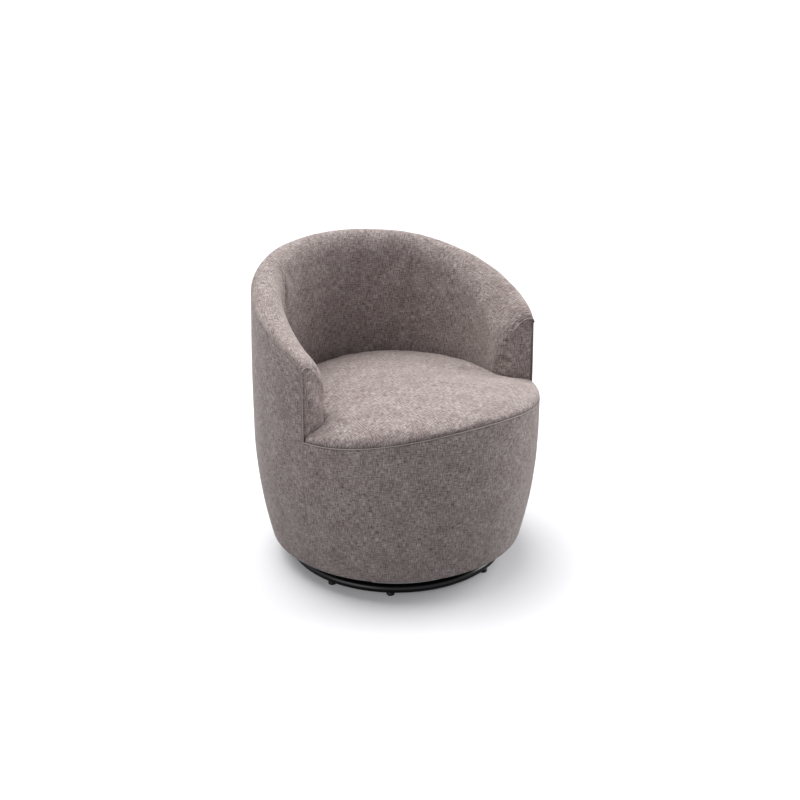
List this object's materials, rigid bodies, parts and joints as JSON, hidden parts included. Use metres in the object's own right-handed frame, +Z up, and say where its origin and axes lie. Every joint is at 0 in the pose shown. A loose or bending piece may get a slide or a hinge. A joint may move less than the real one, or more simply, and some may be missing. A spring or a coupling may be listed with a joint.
{
  "type": "swivel barrel chair",
  "caption": "Upholstered barrel chair with a wrap-around padded back, sloping arms and a crowned seat, turning on a swivel bearing above a black steel ring base.",
  "frame": {"origin": "on the floor, on the swivel axis, in the middle of the base ring", "axes": "+Z up along the swivel axis, -Y towards the open front of the seat, +X to the sitter's left"},
  "size_m": [0.6488, 0.65, 0.695],
  "materials": {
    "upholstery": "soft chenille weave with a short slub, taupe grey",
    "foam": "open-cell polyurethane foam",
    "wadding": "white polyester wadding",
    "plywood": "sanded birch plywood",
    "fibreboard": "bent fibreboard, smooth",
    "webbing": "woven elastic webbing, black",
    "black_cloth": "thin black non-woven cloth",
    "black_steel": "gloss black powder coat",
    "zinc_steel": "bright zinc plate",
    "bearing_steel": "ground steel rollers, oiled",
    "cage_nylon": "moulded natural nylon",
    "glide_nylon": "moulded black nylon"
  },
  "bodies": {
    "base": {"base_ring": "black_steel", "base_glides": "glide_nylon", "cross_bar_long": "black_steel", "cross_bar_short_a": "black_steel", "cross_bar_short_b": "black_steel", "swivel_lower_plate": "black_steel", "base_bolts": "zinc_steel", "base_weld_nuts": "zinc_steel", "pivot_stud": "zinc_steel", "pivot_washer": "zinc_steel", "lock_nut": "zinc_steel"},
    "cage": {"roller_cage": "cage_nylon", "bearing_rollers": "bearing_steel"},
    "seat": {"swivel_upper_plate": "black_steel", "pivot_bush": "cage_nylon", "seat_bolts": "zinc_steel", "tee_nuts": "zinc_steel", "bottom_board": "plywood", "dust_cover": "black_cloth", "arm_post_left": "plywood", "arm_post_right": "plywood", "side_rib_left": "plywood", "side_rib_right": "plywood", "back_rib_left": "plywood", "back_rib_right": "plywood", "front_rib_left": "plywood", "front_rib_middle": "plywood", "front_rib_right": "plywood", "seat_rail": "plywood", "front_rail": "plywood", "webbing_long": "webbing", "webbing_cross": "webbing", "deck_cloth": "black_cloth", "outer_board": "fibreboard", "inner_board": "fibreboard", "top_rail": "plywood", "front_board": "fibreboard", "back_foam": "foam", "outer_wadding": "wadding", "front_wadding": "wadding", "seat_foam": "foam", "inner_arm_cover_left": "upholstery", "inner_back_cover": "upholstery", "inner_arm_cover_right": "upholstery", "outer_cover": "upholstery", "arm_front_left": "upholstery", "arm_front_right": "upholstery", "front_cover": "upholstery", "seat_cover": "upholstery"}
  },
  "joints": [
    {"name": "swivel", "type": "hinge", "parent": "base", "child": "seat", "pos_m": [0, 0, 0.0405], "axis": [0, 0, 1], "continuous": true},
    {"name": "cage_roll", "type": "hinge", "parent": "base", "child": "cage", "pos_m": [0, 0, 0.0405], "axis": [0, 0, 1], "continuous": true}
  ],
  "couplings": [
    {"joint": "cage_roll", "follows": "swivel", "ratio": 0.5}
  ]
}
